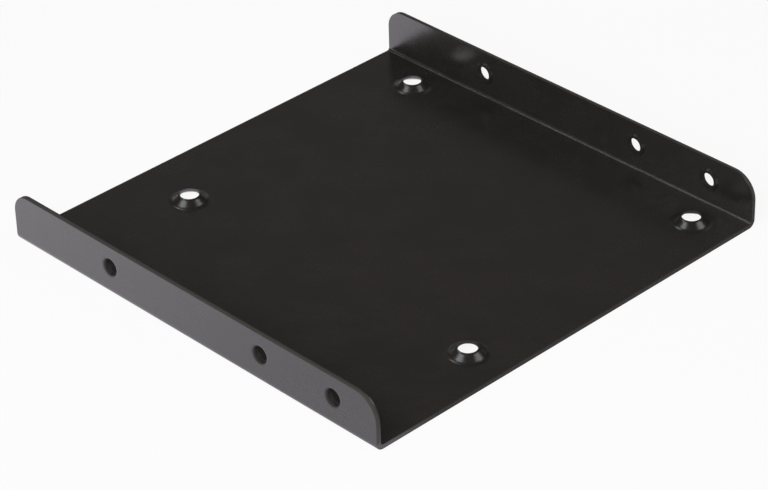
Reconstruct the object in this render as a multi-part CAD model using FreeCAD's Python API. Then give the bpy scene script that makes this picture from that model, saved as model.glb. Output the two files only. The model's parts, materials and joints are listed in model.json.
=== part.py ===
import FreeCAD, Part
import os

# A drive bay adapter bracket, folded from one steel sheet.
# It carries a small drive on four raised, countersunk bosses in its floor, and it
# is screwed into a larger drive cage through the three formed holes of each flange.
# Frame: +Z up, X across the flanges, Y along them, with the front edge at -Y.
# The origin is on the underside of the floor, in the middle of the outline.
# All sizes are in millimetres.

# Folded sheet
sheet = 1.0
overall_width = 102.0
overall_length = 100.0
flange_height = 11.0
bend_inner_radius = 0.6
front_corner_radius = 5.2
back_corner_radius = 4.1
sheared_edge_round = 0.15
largest_round_share = 0.4

# Floor holes, on the bottom screw pattern of the small drive
drive_holes_across = 61.72
drive_holes_along = 76.60
drive_offset_across = 11.6
drive_hole_setback = 14.6
drive_hole_radius = 1.92

# Raised boss round each floor hole
boss_rise = 1.4
boss_crest_width = 0.25
boss_crest_round = 0.25
boss_cone_run = 1.58
boss_foot_round = 0.5
boss_rim_wall = 0.5
countersink_width = 2.73

# Flange holes, on the side screw pattern of the larger drive
cage_hole_height = 6.35
cage_hole_setback = 28.3
cage_hole_gaps = (41.61, 19.05)
cage_hole_radius = 1.55

# Formed rim of each flange hole
cage_hole_entry_round = 0.85
collar_rise = 0.4
collar_tip_wall = 0.55
collar_foot_wall = 0.8

# Flat sheet kept round a boss or a collar where it joins the fold
flat_ring = 0.5

half_width = overall_width / 2
half_length = overall_length / 2
bend_outer_radius = bend_inner_radius + sheet
touching = sheet / 1000
ACROSS = FreeCAD.Vector(1, 0, 0)
ALONG = FreeCAD.Vector(0, 1, 0)
UP = FreeCAD.Vector(0, 0, 1)


def line(a, b):
    """Straight edge between two points."""
    return Part.LineSegment(a, b).toShape()


def arc(a, centre, b):
    """Round edge from a to b about a centre, the short way."""
    towards = (a - centre) + (b - centre)
    middle = centre + towards.normalize() * (a - centre).Length
    return Part.Arc(a, middle, b).toShape()


def fold_section():
    """Closed outline of the folded sheet, seen along its length."""
    y = -half_length

    def at(x, z):
        return FreeCAD.Vector(x, y, z)

    edges = []
    for side in (-1, 1):
        outer = side * half_width
        inner = side * (half_width - sheet)
        bend = side * (half_width - bend_outer_radius)
        centre = at(bend, bend_outer_radius)
        edges.append(line(at(outer, flange_height), at(outer, centre.z)))
        edges.append(arc(at(outer, centre.z), centre, at(bend, 0)))
        edges.append(arc(at(bend, sheet), centre, at(inner, centre.z)))
        edges.append(line(at(inner, centre.z), at(inner, flange_height)))
        edges.append(line(at(inner, flange_height), at(outer, flange_height)))
    floor_half = half_width - bend_outer_radius
    for z in (0, sheet):
        edges.append(line(at(-floor_half, z), at(floor_half, z)))
    return Part.Wire(Part.__sortEdges__(edges))


def sheared_path():
    """Open path of the shears, seen from one side: up the front, over and down the back."""
    x = -half_width

    def at(y, z):
        return FreeCAD.Vector(x, y, z)

    front = -half_length
    back = half_length
    flat_height = flange_height - bend_outer_radius
    front_radius = min(front_corner_radius, flat_height)
    back_radius = min(back_corner_radius, flat_height)
    front_top = front + front_radius
    back_top = back - back_radius
    front_end = flange_height - front_radius
    back_end = flange_height - back_radius
    return Part.Wire([
        line(at(front, 0), at(front, front_end)),
        arc(at(front, front_end), at(front_top, front_end), at(front_top, flange_height)),
        line(at(front_top, flange_height), at(back_top, flange_height)),
        arc(at(back_top, flange_height), at(back_top, back_end), at(back, back_end)),
        line(at(back, back_end), at(back, 0)),
    ])


def middle_point(face):
    """A point on a face, at the middle of its parameters."""
    u_low, u_high, v_low, v_high = face.ParameterRange
    return Part.Vertex(face.valueAt((u_low + u_high) / 2, (v_low + v_high) / 2))


def is_outside(point):
    """True for a point on the outer skin of the fold, or within the sheet behind it."""
    return abs(point.x) > half_width - sheet + touching or point.z < sheet - touching


def folded_sheet():
    """U-shaped sheet with rounded flange corners and the shears' roll round its outer edges."""
    channel = Part.Face(fold_section()).extrude(ALONG * overall_length)
    path = sheared_path()
    ends = path.OrderedVertexes
    closing = line(ends[-1].Point, ends[0].Point)
    outline = Part.Wire(path.Edges + [closing])
    blank = channel.common(Part.Face(outline).extrude(ACROSS * overall_width))

    cut = path.extrude(ACROSS * overall_width)
    cut_faces = [face for face in blank.Faces if cut.distToShape(middle_point(face))[0] < touching]
    cut_edges = [edge for face in cut_faces for edge in face.Edges]
    rim_edges = [edge for edge in cut_edges if sum(edge.isSame(other) for other in cut_edges) == 1]
    rolled_edges = [edge for edge in rim_edges if is_outside(edge.CenterOfMass)]
    return blank.makeFillet(min(sheared_edge_round, sheet * largest_round_share), rolled_edges)


def rounded_outline(corners):
    """Closed outline through (radius, height, reach) corners, in the XZ plane.

    Each corner is rounded by a curve that leaves its two sides at that reach from it.
    """
    points = [FreeCAD.Vector(radius, 0, height) for radius, height, reach in corners]
    edges = []
    starts = []
    ends = []
    for place, corner in enumerate(points):
        reach = corners[place][2]
        before = points[place - 1] - corner
        after = points[(place + 1) % len(points)] - corner
        starts.append(corner + before.normalize() * reach)
        ends.append(corner + after.normalize() * reach)
        if reach > 0:
            curve = Part.BezierCurve()
            curve.setPoles([starts[place], corner, ends[place]])
            edges.append(curve.toShape())
    for place, start in enumerate(starts):
        if start.distanceToPoint(ends[place - 1]) > touching:
            edges.append(line(ends[place - 1], start))
    return Part.Wire(Part.__sortEdges__(edges))


def ring(corners):
    """Ring of sheet with the section inside those corners, turned about the Z axis."""
    return Part.Face(rounded_outline(corners)).revolve(FreeCAD.Vector(0, 0, 0), UP)


def boss_ring():
    """Raised sheet round a floor hole, countersunk from below, and its outer radius."""
    crest = sheet + boss_rise
    crest_radius = drive_hole_radius + boss_crest_width
    crest_round = min(boss_crest_round, boss_crest_width)
    foot_radius = crest_radius + boss_cone_run
    mouth_radius = drive_hole_radius + countersink_width
    outer = max(foot_radius, mouth_radius) + flat_ring
    return ring([
        (outer, 0, 0),
        (outer, sheet, 0),
        (foot_radius, sheet, boss_foot_round),
        (crest_radius, crest, crest_round),
        (drive_hole_radius, crest, 0),
        (drive_hole_radius, crest - boss_rim_wall, 0),
        (mouth_radius, 0, 0),
    ]), outer


def collar_ring():
    """Sheet round a flange hole, its outer face at Z = 0 and its collar up, and its outer radius."""
    tip = sheet + collar_rise
    tip_radius = cage_hole_radius + collar_tip_wall
    foot_radius = cage_hole_radius + collar_foot_wall
    outer = cage_hole_radius + max(collar_foot_wall, cage_hole_entry_round) + flat_ring
    return ring([
        (outer, 0, 0),
        (outer, sheet, 0),
        (foot_radius, sheet, 0),
        (tip_radius, tip, 0),
        (cage_hole_radius, tip, 0),
        (cage_hole_radius, 0, cage_hole_entry_round),
    ]), outer


def drive_hole_centres():
    """Centres of the floor holes, at the level of the underside."""
    back = half_length - drive_hole_setback
    return [
        FreeCAD.Vector(drive_offset_across + side * drive_holes_across / 2, y, 0)
        for side in (-1, 1)
        for y in (back - drive_holes_along, back)
    ]


def cage_hole_places():
    """Positions along the flange of the cage screw holes, from the back one forwards."""
    y = half_length - cage_hole_setback
    places = [y]
    for gap in cage_hole_gaps:
        y -= gap
        places.append(y)
    return places


def with_ring(body, formed_ring, radius, centre, inwards):
    """The body with the flat sheet round one hole replaced by its formed ring."""
    disc = Part.makeCylinder(radius, sheet, centre, inwards)
    formed = formed_ring.copy()
    formed.Placement = FreeCAD.Placement(centre, FreeCAD.Rotation(UP, inwards))
    return body.cut(disc).fuse(formed)


def bracket():
    """The whole bracket as one solid."""
    body = folded_sheet()
    boss, boss_radius = boss_ring()
    for centre in drive_hole_centres():
        body = with_ring(body, boss, boss_radius, centre, UP)
    collar, collar_radius = collar_ring()
    for side in (-1, 1):
        for y in cage_hole_places():
            centre = FreeCAD.Vector(side * half_width, y, cage_hole_height)
            body = with_ring(body, collar, collar_radius, centre, ACROSS * -side)
    return body.removeSplitter()


os.makedirs("parts", exist_ok=True)
shape = bracket()
shape.exportStep("parts/bracket.step")
size = shape.optimalBoundingBox()
print("bracket: solids", len(shape.Solids), "valid", shape.isValid(), "faces", len(shape.Faces))
print("volume", round(shape.Volume, 2), "size", size.XLength, size.YLength, size.ZLength)
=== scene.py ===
# %% [markdown]
# # A folded steel bracket in satin black paint
# The object is one sheet of steel, sheared, punched and folded into a low tray, then
# painted black. It carries a small drive on four raised bosses inside a larger drive bay.
# The solid model already holds its folds, holes and bosses at their real size, so this
# lesson adds what a solid model can't say: how the paint takes light, the fine thread in
# the screw holes, and a small studio to look at it in.

# %% Load the frame
import json
import math
import bmesh
import bpy
import numpy as np
from mathutils import Matrix, Vector

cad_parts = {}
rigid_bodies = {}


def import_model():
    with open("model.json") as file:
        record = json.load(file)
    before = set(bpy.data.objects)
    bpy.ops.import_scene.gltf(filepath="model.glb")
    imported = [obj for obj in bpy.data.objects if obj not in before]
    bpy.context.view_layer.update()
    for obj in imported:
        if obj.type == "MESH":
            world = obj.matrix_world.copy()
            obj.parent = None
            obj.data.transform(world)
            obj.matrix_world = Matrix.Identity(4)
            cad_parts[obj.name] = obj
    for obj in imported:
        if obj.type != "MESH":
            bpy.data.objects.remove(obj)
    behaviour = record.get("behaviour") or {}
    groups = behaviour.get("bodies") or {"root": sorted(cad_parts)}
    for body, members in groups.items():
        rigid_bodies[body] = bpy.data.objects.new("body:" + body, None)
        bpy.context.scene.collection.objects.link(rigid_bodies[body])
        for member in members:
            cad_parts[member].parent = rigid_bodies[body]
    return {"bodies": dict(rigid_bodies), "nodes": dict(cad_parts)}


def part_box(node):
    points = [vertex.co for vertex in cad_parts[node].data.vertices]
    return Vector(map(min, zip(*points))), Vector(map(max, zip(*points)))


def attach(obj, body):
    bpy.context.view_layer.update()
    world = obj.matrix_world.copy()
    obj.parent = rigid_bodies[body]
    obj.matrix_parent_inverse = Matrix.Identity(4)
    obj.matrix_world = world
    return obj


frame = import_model()

# %% [markdown]
# A new Blender file starts with a cube, a lamp and a camera of its own. They would count
# as part of the object or light it, so everything that isn't in the frame is removed
# before the box round the solid model is measured.

# %% Keep only the frame, and measure it
kept = set(frame["nodes"].values()) | set(frame["bodies"].values())
for obj in [obj for obj in bpy.data.objects if obj not in kept]:
    bpy.data.objects.remove(obj)
bracket = frame["nodes"]["bracket"]
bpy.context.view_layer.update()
low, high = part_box("bracket")
MM = 0.001
print("bracket measures", [round(side / MM, 2) for side in high - low], "mm")

# %% [markdown]
# ## The camera
# The photograph was taken from the front left corner, about 33 degrees above the table,
# with a long lens from some 60 cm away. A camera can be placed by hand until it looks
# right, but lines of the object that are known to be straight and square fix it much
# better: its heading, height, tilt and focal length were solved from them, and are
# written here as the few numbers that a photographer would give.

# %% Camera at the photograph's viewpoint
camera_heading = math.radians(-43.48)
camera_elevation = math.radians(32.78)
camera_roll = math.radians(-1.584)
camera_distance = 0.61027
camera_aim = Vector((-3.241 * MM, -2.875 * MM, 0))
focal_in_pixels = 3167.6
photo_width = 768

towards_camera = Vector((
    math.sin(camera_heading) * math.cos(camera_elevation),
    -math.cos(camera_heading) * math.cos(camera_elevation),
    math.sin(camera_elevation),
))
level_right = Vector((0, 0, 1)).cross(towards_camera).normalized()
level_up = towards_camera.cross(level_right)
turn = Matrix.Rotation(camera_roll, 3, towards_camera)
camera_axes = Matrix((turn @ level_right, turn @ level_up, towards_camera)).transposed()

camera_data = bpy.data.cameras.new("camera")
camera_data.sensor_width = 36
camera_data.lens = focal_in_pixels * camera_data.sensor_width / photo_width
camera_data.clip_start = 0.01
camera = bpy.data.objects.new("camera", camera_data)
camera_place = camera_aim + towards_camera * camera_distance
camera.matrix_world = Matrix.Translation(camera_place) @ camera_axes.to_4x4()
bpy.context.scene.collection.objects.link(camera)
bpy.context.scene.camera = camera
print("camera lens", round(camera_data.lens, 1), "mm, at", [round(v, 3) for v in camera_place])

# %% [markdown]
# ## Helpers for node trees
# A procedural material is a small graph. These helpers keep the graphs readable: one adds
# a node and sets its values, one starts an empty group with named inputs and outputs, one
# starts an empty material, and the rest remap, multiply and mix what other nodes give.

# %% Node helpers
def add_node(tree, kind, values=None, **settings):
    """One node of that kind, with its settings and the plain values of its inputs."""
    node = tree.nodes.new(kind)
    for name, value in settings.items():
        setattr(node, name, value)
    for name, value in (values or {}).items():
        node.inputs[name].default_value = value
    return node


def new_group(name, inputs, outputs):
    """An empty shader group with float inputs and outputs, its input node and its output node."""
    group = bpy.data.node_groups.new(name, "ShaderNodeTree")
    for socket, value in inputs.items():
        made = group.interface.new_socket(socket, in_out="INPUT", socket_type="NodeSocketFloat")
        made.default_value = value
    for socket in outputs:
        group.interface.new_socket(socket, in_out="OUTPUT", socket_type="NodeSocketFloat")
    return group, group.nodes.new("NodeGroupInput"), group.nodes.new("NodeGroupOutput")


def new_material(name):
    """An empty node material, its tree and its output node."""
    material = bpy.data.materials.new(name)
    material.use_nodes = True
    material.node_tree.nodes.clear()
    return material, material.node_tree, material.node_tree.nodes.new("ShaderNodeOutputMaterial")


def remap(tree, value, from_low, from_high, to_low=0.0, to_high=1.0, style="SMOOTHSTEP"):
    """The output of a Map Range node that takes value from one range to another."""
    node = add_node(tree, "ShaderNodeMapRange", {
        "From Min": from_low, "From Max": from_high, "To Min": to_low, "To Max": to_high,
    }, interpolation_type=style)
    tree.links.new(value, node.inputs["Value"])
    return node.outputs["Result"]


def absolute(tree, value):
    """The output of a Math node that drops the sign of a value."""
    node = add_node(tree, "ShaderNodeMath", operation="ABSOLUTE")
    tree.links.new(value, node.inputs[0])
    return node.outputs["Value"]


def multiply(tree, first, others):
    """The output of a row of Math nodes that multiply the first value by each of the others."""
    product = first
    for other in others:
        node = add_node(tree, "ShaderNodeMath", operation="MULTIPLY")
        tree.links.new(product, node.inputs[0])
        tree.links.new(other, node.inputs[1])
        product = node.outputs["Value"]
    return product


def mix_values(tree, share, first, second):
    """The output of a Mix node that goes from the first value to the second number with share."""
    node = add_node(tree, "ShaderNodeMix", {"B": second}, data_type="FLOAT")
    tree.links.new(share, node.inputs["Factor"])
    tree.links.new(first, node.inputs["A"])
    return node.outputs["Result"]


def mix_colours(tree, share, first, second):
    """The output of a Mix node that goes from the first colour to the second with share."""
    node = add_node(tree, "ShaderNodeMix", data_type="RGBA")
    tree.links.new(share, node.inputs["Factor"])
    for socket, colour in (("A", first), ("B", second)):
        target = [item for item in node.inputs if item.name == socket and item.type == "RGBA"][0]
        if isinstance(colour, bpy.types.NodeSocket):
            tree.links.new(colour, target)
        else:
            target.default_value = colour
    return [item for item in node.outputs if item.type == "RGBA"][0]

# %% [markdown]
# ## The paint's skin
# Sprayed and baked paint never dries dead flat: it keeps a shallow orange peel a few
# tenths of a millimetre across. A second, slower ripple follows how the film flowed. Both
# are noise in the object's own coordinates, so they stay on the sheet from every side.
# The group gives one height, which a Bump node turns into a small tilt of the surface.

# %% Orange peel group
def make_peel_group():
    """Height of the paint's skin: fine noise plus a share of slow noise."""
    group, given, result = new_group("orange_peel", {
        "Grains per metre": 2600.0, "Ripples per metre": 260.0, "Ripple share": 5.0,
    }, ["Height"])
    link = group.links.new
    where = add_node(group, "ShaderNodeTexCoord")
    grain = add_node(group, "ShaderNodeTexNoise", {"Detail": 2.0, "Roughness": 0.5})
    ripple = add_node(group, "ShaderNodeTexNoise", {"Detail": 1.0, "Roughness": 0.4})
    link(where.outputs["Object"], grain.inputs["Vector"])
    link(where.outputs["Object"], ripple.inputs["Vector"])
    link(given.outputs["Grains per metre"], grain.inputs["Scale"])
    link(given.outputs["Ripples per metre"], ripple.inputs["Scale"])
    total = add_node(group, "ShaderNodeMath", operation="MULTIPLY_ADD")
    link(ripple.outputs["Fac"], total.inputs[0])
    link(given.outputs["Ripple share"], total.inputs[1])
    link(grain.outputs["Fac"], total.inputs[2])
    link(total.outputs["Value"], result.inputs["Height"])
    return group


orange_peel = make_peel_group()
print("orange peel group has", len(orange_peel.nodes), "nodes")

# %% [markdown]
# The film is also a little uneven in thickness. Where it is thin it dries a shade browner
# and flatter, in soft patches about a centimetre wide. The effect is barely visible, but
# it keeps the large plain faces from looking like one flat colour.

# %% Film thickness group
noise_low = 0.36
noise_high = 0.64


def make_film_group():
    """Thickness of the paint from 0 to 1: slow patches, broken up by a fine speckle.

    Noise stays near its middle, so the part from noise_low to noise_high is stretched to 0 to 1.
    """
    group, given, result = new_group("paint_film", {
        "Patches per metre": 90.0, "Specks per metre": 5200.0, "Speck share": 0.35,
    }, ["Thickness"])
    link = group.links.new
    where = add_node(group, "ShaderNodeTexCoord")
    patches = add_node(group, "ShaderNodeTexNoise", {"Detail": 3.0, "Roughness": 0.5})
    specks = add_node(group, "ShaderNodeTexNoise", {"Detail": 1.0, "Roughness": 0.6})
    link(where.outputs["Object"], patches.inputs["Vector"])
    link(where.outputs["Object"], specks.inputs["Vector"])
    link(given.outputs["Patches per metre"], patches.inputs["Scale"])
    link(given.outputs["Specks per metre"], specks.inputs["Scale"])
    both = add_node(group, "ShaderNodeMix", data_type="FLOAT")
    link(given.outputs["Speck share"], both.inputs["Factor"])
    link(patches.outputs["Fac"], both.inputs["A"])
    link(specks.outputs["Fac"], both.inputs["B"])
    link(remap(group, both.outputs["Result"], noise_low, noise_high), result.inputs["Thickness"])
    return group


paint_film = make_film_group()
print("paint film group has", len(paint_film.nodes), "nodes")

# %% [markdown]
# ## The sheared edges
# Shears and punches leave a torn, matt face round the rim of a sheet. Paint draws back
# from such a corner, and the slightly rounded rim catches light, so in the photograph the
# upper edge of the near flange is a thin grey line between the pale outer face and the
# dark floor. Here that grey is partly the torn face's own colour and partly a painted
# highlight, standing in for the light that the rounded rim catches. The mask finds the rim
# from the surface alone: it is the part of a flange, above its bend, that doesn't look
# sideways. It is weak at the inner face and full from the middle of the sheet outwards,
# because the grey shows on the side that the shears pulled over.

# %% Sheared edge group
looks_sideways = 0.95
looks_away = 0.35
edge_height_fade = 0.2 * MM
edge_depth_fade = 0.5 * MM


def make_edge_group(above, beyond):
    """Mask of the flanges' sheared rims, from the height and from where the surface looks.

    above is a height over the table and beyond a distance from the middle, in metres. Past
    both, the mask rises from 0 to 1 as the surface turns from looking sideways to looking
    along the flange or up. It takes edge_depth_fade past beyond to reach its full value.
    """
    group, given, result = new_group("sheared_edge", {"Sharpness": 1.0}, ["Mask"])
    link = group.links.new
    where = add_node(group, "ShaderNodeTexCoord")
    looks = add_node(group, "ShaderNodeSeparateXYZ")
    place = add_node(group, "ShaderNodeSeparateXYZ")
    link(where.outputs["Normal"], looks.inputs["Vector"])
    link(where.outputs["Object"], place.inputs["Vector"])
    sideways = absolute(group, looks.outputs["X"])
    away = absolute(group, place.outputs["X"])
    turned = remap(group, sideways, looks_sideways, looks_away)
    high_up = remap(group, place.outputs["Z"], above, above + edge_height_fade)
    far_out = remap(group, away, beyond, beyond + edge_depth_fade)
    mask = multiply(group, given.outputs["Sharpness"], (turned, high_up, far_out))
    link(mask, result.inputs["Mask"])
    return group


sheet = 1.0 * MM
bend_outer_radius = 1.6 * MM
sheared_edge = make_edge_group(bend_outer_radius, high[0] - sheet)
print("sheared edge group has", len(sheared_edge.nodes), "nodes")

# %% [markdown]
# ## The tapped holes
# The tap tears the sheet, and paint gathers unevenly in a thread, so a tapped wall looks
# dull next to the smooth sheet. The photograph shows the flange holes as soft dark spots,
# without the bright rim that a glossy edge would have. This mask marks their walls: it
# takes the distance to the nearest hole's axis, the same way a drill would.

# %% Tapped hole group
dull_radius = 1.7 * MM
clear_radius = 2.15 * MM
hole_depth_fade = 0.1 * MM


def make_hole_group(places, height, full, none, beyond):
    """Mask of the flange holes' walls, from the distance to the nearest hole's axis.

    The mask is 1 within the radius full, falls to 0 at the radius none, and counts only
    past the distance beyond from the middle. All are in metres.
    """
    group, given, result = new_group("tapped_hole", {"Strength": 1.0}, ["Mask"])
    link = group.links.new
    where = add_node(group, "ShaderNodeTexCoord")
    place = add_node(group, "ShaderNodeSeparateXYZ")
    link(where.outputs["Object"], place.inputs["Vector"])
    nearest = None
    for along in places:
        flat = add_node(group, "ShaderNodeVectorMath", {1: (0, 1, 1)}, operation="MULTIPLY")
        axis = add_node(group, "ShaderNodeVectorMath", {1: (0, along, height)}, operation="DISTANCE")
        link(where.outputs["Object"], flat.inputs[0])
        link(flat.outputs["Vector"], axis.inputs[0])
        if nearest is None:
            nearest = axis.outputs["Value"]
        else:
            smaller = add_node(group, "ShaderNodeMath", operation="MINIMUM")
            link(nearest, smaller.inputs[0])
            link(axis.outputs["Value"], smaller.inputs[1])
            nearest = smaller.outputs["Value"]
    away = absolute(group, place.outputs["X"])
    in_hole = remap(group, nearest, none, full)
    far_out = remap(group, away, beyond, beyond + hole_depth_fade)
    mask = multiply(group, given.outputs["Strength"], (in_hole, far_out))
    link(mask, result.inputs["Mask"])
    return group


hole_height = 6.35 * MM
hole_setback = 28.3 * MM
hole_gaps = np.array([0, 41.61, 19.05]) * MM
hole_places = high[1] - hole_setback - np.cumsum(hole_gaps)
collar_inside = high[0] - 2 * sheet
tapped_hole = make_hole_group(hole_places.tolist(), hole_height, dull_radius, clear_radius, collar_inside)
print("hole places along the flange", np.round(hole_places / MM, 2), "mm")

# %% [markdown]
# ## Satin black paint
# Two numbers carry the look. The body colour is a very dark, slightly brown black, as the
# photograph shows where nothing bright is mirrored. The gloss is strong but soft: the left
# flange mirrors the white table as a plain grey, with no image in it, and the bosses show
# two bright fans with a dark gap between them. The first asks for a dense film, and the
# second for a roughness of about a quarter: at a third, the lamps' light spreads into the
# gap and over every dark face. The two masks then make the torn edges greyer and duller,
# and the tapped walls duller. Both get a rougher surface, and a lower specular level, which
# weakens the mirror without making it broader.
# The grey of the torn edges is partly their own colour and partly a painted highlight, standing in for
# the light that a rounded rim would catch.

# %% Black paint material
thin_colour = (0.0188, 0.0162, 0.0141, 1)
thick_colour = (0.0151, 0.0133, 0.0118, 1)
# Grey of the sheared rims: partly the torn face's own colour, partly a painted highlight.
torn_grey_and_highlight_colour = (0.057, 0.053, 0.0485, 1)
tapped_colour = (0.016, 0.015, 0.0135, 1)
film_index = 2.1
thin_roughness = 0.28
thick_roughness = 0.24
torn_roughness = 0.65
tapped_roughness = 0.6
full_gloss = 0.5
dull_gloss = 0.2
skin_share = 0.5
skin_depth = 0.02 * MM


def make_black_paint():
    """Satin black paint: brown black body, soft gloss, orange peel, grey edges that are partly a painted
    highlight, and dull tapped walls.
    """
    material, tree, output = new_material("black_paint_satin")
    link = tree.links.new
    shader = add_node(tree, "ShaderNodeBsdfPrincipled", {"IOR": film_index})
    film = add_node(tree, "ShaderNodeGroup", node_tree=paint_film)
    edge = add_node(tree, "ShaderNodeGroup", node_tree=sheared_edge)
    hole = add_node(tree, "ShaderNodeGroup", node_tree=tapped_hole)
    peel = add_node(tree, "ShaderNodeGroup", node_tree=orange_peel)

    body = mix_colours(tree, film.outputs["Thickness"], thin_colour, thick_colour)
    # Sheared rims: partly their own grey, partly a painted highlight.
    torn_grey_and_highlight = mix_colours(tree, edge.outputs["Mask"], body, torn_grey_and_highlight_colour)
    colour = mix_colours(tree, hole.outputs["Mask"], torn_grey_and_highlight, tapped_colour)
    link(colour, shader.inputs["Base Color"])

    rough = remap(tree, film.outputs["Thickness"], 0, 1, thin_roughness, thick_roughness, "LINEAR")
    gloss = add_node(tree, "ShaderNodeValue").outputs["Value"]
    gloss.default_value = full_gloss
    for mask, roughness in ((edge, torn_roughness), (hole, tapped_roughness)):
        rough = mix_values(tree, mask.outputs["Mask"], rough, roughness)
        gloss = mix_values(tree, mask.outputs["Mask"], gloss, dull_gloss)
    link(rough, shader.inputs["Roughness"])
    link(gloss, shader.inputs["Specular IOR Level"])

    bump = add_node(tree, "ShaderNodeBump", {"Strength": skin_share, "Distance": skin_depth})
    link(peel.outputs["Height"], bump.inputs["Height"])
    link(bump.outputs["Normal"], shader.inputs["Normal"])
    link(shader.outputs["BSDF"], output.inputs["Surface"])
    return material


black_paint = make_black_paint()
bracket.data.materials.clear()
bracket.data.materials.append(black_paint)
print("paint nodes:", len(black_paint.node_tree.nodes))

# %% [markdown]
# ## The thread in the flange holes
# Each flange hole is drawn out into a short collar and tapped, so that a cage screw holds
# in thin sheet. The solid model keeps a plain wall there. A cut thread could be modelled by
# subtracting a helix, which is slow and fragile, so here it is added the other way round:
# one low helical ridge per hole, seated in the wall, with the flanks and the flat crest of
# the real thread. It fades in where the hole flares out and fades out at the collar's tip.

# %% Thread ridges
thread_pitch = 25.4 * MM / 32
thread_crest_radius = 1.41 * MM
thread_seat = 0.03 * MM
wall_radius = 1.55 * MM
entry_round = 0.85 * MM
collar_rise = 0.4 * MM
thread_start = 0.35 * MM
thread_end = sheet + collar_rise - 0.22 * MM
fade_in = 0.45
fade_out = 0.12
foot_share = 0.25
crest_share = 0.11


def hole_wall(depth):
    """Radius of the hole at a depth from the outer face: a quarter parabola, then a plain wall.

    On the flare, depth is entry round x t^2 and radius is wall radius + entry round x (1 - t)^2.
    """
    t = np.sqrt(np.clip(depth / entry_round, 0, 1))
    return wall_radius + entry_round * (1 - t) ** 2


def thread_ridge(name, side, along, steps=120):
    """Closed helical ridge on the wall of one flange hole.

    Point (i, j) is at step i, corner j of a flat-topped ridge. The ridge advances one pitch a
    turn from the flare to the collar's tip, and its height is a smooth step at both ends, over
    the shares fade_in and fade_out of its way. Its foot and its crest reach foot_share and
    crest_share of a pitch to either side.
    """
    reach = thread_end - thread_start
    turns = reach / thread_pitch
    way = np.linspace(0, 1, steps)
    angle = 2 * math.pi * turns * way
    fade = np.clip(np.minimum(way / fade_in, (1 - way) / fade_out), 0, 1)
    fade = fade * fade * (3 - 2 * fade)
    halves = np.array([-foot_share, -crest_share, crest_share, foot_share]) * thread_pitch
    on_crest = np.array([0, 1, 1, 0])
    depth = (thread_start + reach * way)[:, None] + halves[None, :]
    wall = hole_wall(depth)
    crest = wall - (wall_radius - thread_crest_radius) * fade[:, None]
    radius = np.where(on_crest[None, :] == 1, crest, wall + thread_seat)
    y = along + radius * np.cos(angle)[:, None]
    z = hole_height - side * radius * np.sin(angle)[:, None]
    x = side * (high[0] - depth)
    points = np.stack([x, y, z], axis=-1).reshape(-1, 3)
    corner = np.arange(4)[None, :]
    row = np.arange(steps - 1)[:, None] * 4
    after = (corner + 1) % 4
    quads = np.stack([row + corner, row + after, row + 4 + after, row + 4 + corner], axis=-1)
    last = (steps - 1) * 4
    caps = [[3, 2, 1, 0], [last, last + 1, last + 2, last + 3]]
    mesh = bpy.data.meshes.new(name)
    mesh.from_pydata(points.tolist(), [], quads.reshape(-1, 4).tolist() + caps)
    solid = bmesh.new()
    solid.from_mesh(mesh)
    bmesh.ops.recalc_face_normals(solid, faces=solid.faces)
    solid.to_mesh(mesh)
    solid.free()
    return mesh


for side, side_name in ((-1, "left"), (1, "right")):
    for number, along in enumerate(hole_places, start=1):
        mesh = thread_ridge(f"thread_{side_name}_{number}", side, along)
        mesh.materials.append(black_paint)
        ridge = bpy.data.objects.new(mesh.name, mesh)
        bpy.context.scene.collection.objects.link(ridge)
        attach(ridge, "root")
print("thread ridges:", 2 * len(hole_places), "of", len(mesh.polygons), "faces each")

# %% [markdown]
# ## The studio
# The object stands on a white table that curves up into a low white rim, as a roll of
# studio paper does. One turned surface makes both: flat in the middle, then a quarter
# round, then a short upright. A plain plane would do for the background, but its far edge
# would be mirrored as a dark line low down in every glossy side of the object.

# %% Table and rim
def turned_surface(name, radii, heights, steps=96):
    """Surface turned about the Z axis: point (i, j) is at radius i, height i and angle j.

    A flat disc closes the middle, inside the first radius.
    """
    angles = np.linspace(0, 2 * math.pi, steps, endpoint=False)
    x = np.outer(radii, np.cos(angles))
    y = np.outer(radii, np.sin(angles))
    z = np.outer(heights, np.ones(steps))
    points = np.stack([x, y, z], axis=-1).reshape(-1, 3)
    row = np.arange(len(radii) - 1)[:, None] * steps
    column = np.arange(steps)[None, :]
    following = (column + 1) % steps
    beyond = row + steps
    quads = np.stack([row + column, beyond + column, beyond + following, row + following], axis=-1)
    mesh = bpy.data.meshes.new(name)
    mesh.from_pydata(points.tolist(), [], [list(range(steps))] + quads.reshape(-1, 4).tolist())
    mesh.shade_smooth()
    return mesh


middle_radii = [0.001, 0.3]
flat_radius = 1.2
cove_radius = 0.15
rim_radius = flat_radius + cove_radius
rim_height = 0.32
cove = np.linspace(0, math.pi / 2, 9)
radii = np.concatenate([middle_radii, flat_radius + cove_radius * np.sin(cove), [rim_radius]])
heights = np.concatenate([[0, 0], cove_radius * (1 - np.cos(cove)), [rim_height]])
table_mesh = turned_surface("table", radii, heights)
table = bpy.data.objects.new("table", table_mesh)
bpy.context.scene.collection.objects.link(table)
print("table reaches", rim_radius, "m from the middle")

# %% [markdown]
# The photograph's background is plain white. Adding lamps until the table turns white
# would also wash out the black paint, so the table helps itself: rays from the camera see
# it nearly self-lit, and the rest still takes the soft shadow of the object.
# The paint mirrors the table too, and there the photograph tells more. The left flange
# mirrors the table on its left and is pale, a little more so towards the back. The front
# edges mirror the table at the front right, in the bracket's own shade, and are dark. The
# backs of the bosses mirror the table far away, and are nearly black. So mirror rays don't
# see the lamps' light on the table: they see painted light, with three fades: a painted
# pool of light that dims towards the front, a painted shadow at the front right, and a
# painted dimming into the distance.

# %% Table finish, with painted light for mirror rays
table_colour = (0.86, 0.86, 0.87, 1)
plain_white = (1, 1, 1, 1)
camera_share = 0.90
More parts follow.
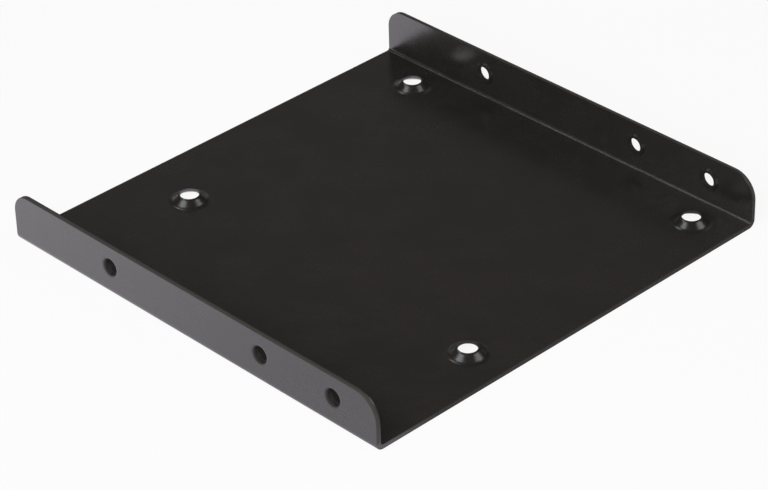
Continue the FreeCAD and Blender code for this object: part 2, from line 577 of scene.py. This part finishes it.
# Painted light that mirror rays see: a pool of light paler at the back, a painted shadow, and painted
# dimming far away.
painted_light_front = (0.64, 0.627, 0.69, 1)
painted_light_back = (0.96, 0.935, 1.0, 1)
painted_shade_colour = (0.22, 0.205, 0.20, 1)
painted_dim_far_colour = (0.22, 0.21, 0.21, 1)
front_to_back = (-0.025, 0.06)
edge_of_shade = (-0.012, 0.0)
near_to_far = (0.15, 0.9)


def make_table_and_painted_light():
    """White table: nearly self-lit for camera rays; for mirror rays it glows with painted light, a
    painted shadow and painted dimming.
    """
    material, tree, output = new_material("table_white")
    link = tree.links.new
    where = add_node(tree, "ShaderNodeTexCoord")
    place = add_node(tree, "ShaderNodeSeparateXYZ")
    across = add_node(tree, "ShaderNodeVectorMath", {1: (-0.707, 0.707, 0)}, operation="DOT_PRODUCT")
    distance = add_node(tree, "ShaderNodeVectorMath", operation="LENGTH")
    for node in (place, across, distance):
        link(where.outputs["Object"], node.inputs[0])
    backwards = remap(tree, place.outputs["Y"], *front_to_back, style="LINEAR")
    out_of_shade = remap(tree, across.outputs["Value"], *edge_of_shade)
    far_away = remap(tree, distance.outputs["Value"], *near_to_far)
    lit = mix_colours(tree, backwards, painted_light_front, painted_light_back)
    near = mix_colours(tree, out_of_shade, painted_shade_colour, lit)
    mirrored = mix_colours(tree, far_away, near, painted_dim_far_colour)

    matte = add_node(tree, "ShaderNodeBsdfDiffuse", {"Color": table_colour})
    white = add_node(tree, "ShaderNodeEmission", {"Color": plain_white, "Strength": 1.0})
    # The glow that mirror rays see: painted light, not the lamps' light on the table.
    painted_glow = add_node(tree, "ShaderNodeEmission", {"Strength": 1.0})
    link(mirrored, painted_glow.inputs["Color"])
    rays = add_node(tree, "ShaderNodeLightPath")
    surface = matte.outputs["BSDF"]
    for ray, share, light in (("Is Camera Ray", camera_share, white), ("Is Glossy Ray", 1.0, painted_glow)):
        amount = add_node(tree, "ShaderNodeMath", {1: share}, operation="MULTIPLY")
        link(rays.outputs[ray], amount.inputs[0])
        mix = add_node(tree, "ShaderNodeMixShader")
        link(amount.outputs["Value"], mix.inputs[0])
        link(surface, mix.inputs[1])
        link(light.outputs["Emission"], mix.inputs[2])
        surface = mix.outputs["Shader"]
    link(surface, output.inputs["Surface"])
    return material


table_mesh.materials.append(make_table_and_painted_light())

# %% [markdown]
# ## Lamps
# Black paint shows a lamp only where a surface happens to mirror it, so the raised bosses
# work as small mirror balls: each has a bright fan on its left and one on its front.
# Reading back where those fans face gives two soft boxes, high up at the back left and at
# the front right. The thin line along the far bend comes from a small light over the back,
# and the soft grey of the floor from a large, very dim panel low behind it on the right.
# Those alone would leave the scene far too dark for any other colour. One large fill box
# over the camera's left shoulder makes up for it. It is hidden from mirror rays: the bosses
# would otherwise show it as a third bright patch, right between their two fans.
# Lamps placed low on the camera's side could do it too: little in this view mirrors
# them, but they light the near flange to about 1.6 times its written value. For a bracket
# in plain half grey, with the light that the table throws back, the floor renders at 75 to
# 81 percent of its written value, the far flange at 94 percent and the near flange at 115
# to 121 percent. The level was measured on a copy of the bracket in plain half grey.

# %% Lamps
lamp_distance = 0.9


def add_softbox(name, direction, size, share, colour=(1, 1, 1), mirrored=True):
    """A square soft lamp that faces the object and gives that share of a plain exposure.

    Share 1 lights a level white surface to white: power = share x pi^2 x distance^2 / cosine,
    where the cosine is that of the lamp's angle from straight above. A lamp that isn't
    mirrored lights the object without showing in its gloss.
    """
    towards = Vector(direction).normalized()
    data = bpy.data.lights.new(name, "AREA")
    data.shape = "SQUARE"
    data.size = size
    data.energy = share * math.pi ** 2 * lamp_distance ** 2 / towards.z
    data.color = colour
    lamp = bpy.data.objects.new(name, data)
    lamp.location = towards * lamp_distance
    lamp.rotation_euler = towards.to_track_quat("Z", "Y").to_euler()
    lamp.visible_glossy = mirrored
    bpy.context.scene.collection.objects.link(lamp)
    print(name, "power", round(data.energy, 2), "W")


add_softbox("left_softbox", (-0.61, 0.26, 0.75), 0.46, 0.098, (0.93, 0.96, 1.0))
add_softbox("right_softbox", (0.455, -0.565, 0.69), 0.44, 0.060, (1.0, 0.97, 0.94))
add_softbox("back_softbox", (0.03, 0.56, 0.83), 0.2, 0.026)
add_softbox("far_panel", (0.66, 0.66, 0.37), 0.6, 0.0040, (1.0, 0.94, 0.90))
add_softbox("fill", (-0.69, -0.38, 0.62), 0.8, 0.74, (1.0, 0.985, 0.97), mirrored=False)

# %% [markdown]
# The room round the table is dim and slightly warm. It fills every direction that no lamp
# takes, so its level sets how black the paint looks between the lights.

# %% World
room_colour = (1, 0.94, 0.90, 1)
room_strength = 0.017


def make_world():
    """A dim room for all rays, and plain white where the camera would look past the table."""
    world = bpy.data.worlds.new("studio")
    world.use_nodes = True
    tree = world.node_tree
    tree.nodes.clear()
    room = add_node(tree, "ShaderNodeBackground", {"Color": room_colour, "Strength": room_strength})
    white = add_node(tree, "ShaderNodeBackground", {"Color": plain_white, "Strength": 1.0})
    rays = add_node(tree, "ShaderNodeLightPath")
    mix = add_node(tree, "ShaderNodeMixShader")
    tree.links.new(rays.outputs["Is Camera Ray"], mix.inputs[0])
    tree.links.new(room.outputs["Background"], mix.inputs[1])
    tree.links.new(white.outputs["Background"], mix.inputs[2])
    tree.links.new(mix.outputs["Shader"], add_node(tree, "ShaderNodeOutputWorld").inputs["Surface"])
    return world


bpy.context.scene.world = make_world()
bpy.context.scene.view_settings.view_transform = "Standard"
print("view transform:", bpy.context.scene.view_settings.view_transform)
